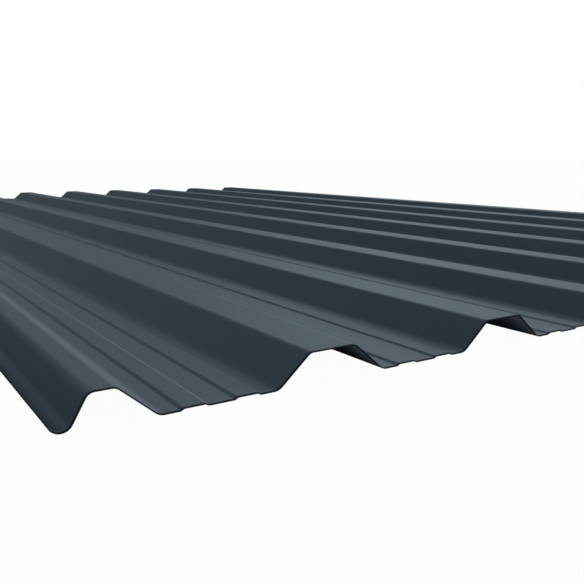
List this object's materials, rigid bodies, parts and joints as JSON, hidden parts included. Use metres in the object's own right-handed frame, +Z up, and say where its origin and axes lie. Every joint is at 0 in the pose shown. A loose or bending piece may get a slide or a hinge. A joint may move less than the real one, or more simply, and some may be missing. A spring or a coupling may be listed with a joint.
{
  "type": "corrugated metal sheet",
  "caption": "Long painted steel sheet with trapezoidal ribs, shallow swages in its pans and a drain groove along one edge, for lapped roofing and wall cladding.",
  "frame": {"origin": "on the floor under the middle of the sheet, at the level that the pans rest on", "axes": "+X across the ribs from the underlap edge to the overlap edge, +Y along the ribs, +Z up towards the crowns"},
  "size_m": [1.1506, 2, 0.0184],
  "materials": {
    "painted_steel": "satin anthracite coil coating on both faces, with bare cut edges"
  },
  "bodies": {
    "root": {"corrugated_sheet": "painted_steel"}
  },
  "joints": []
}
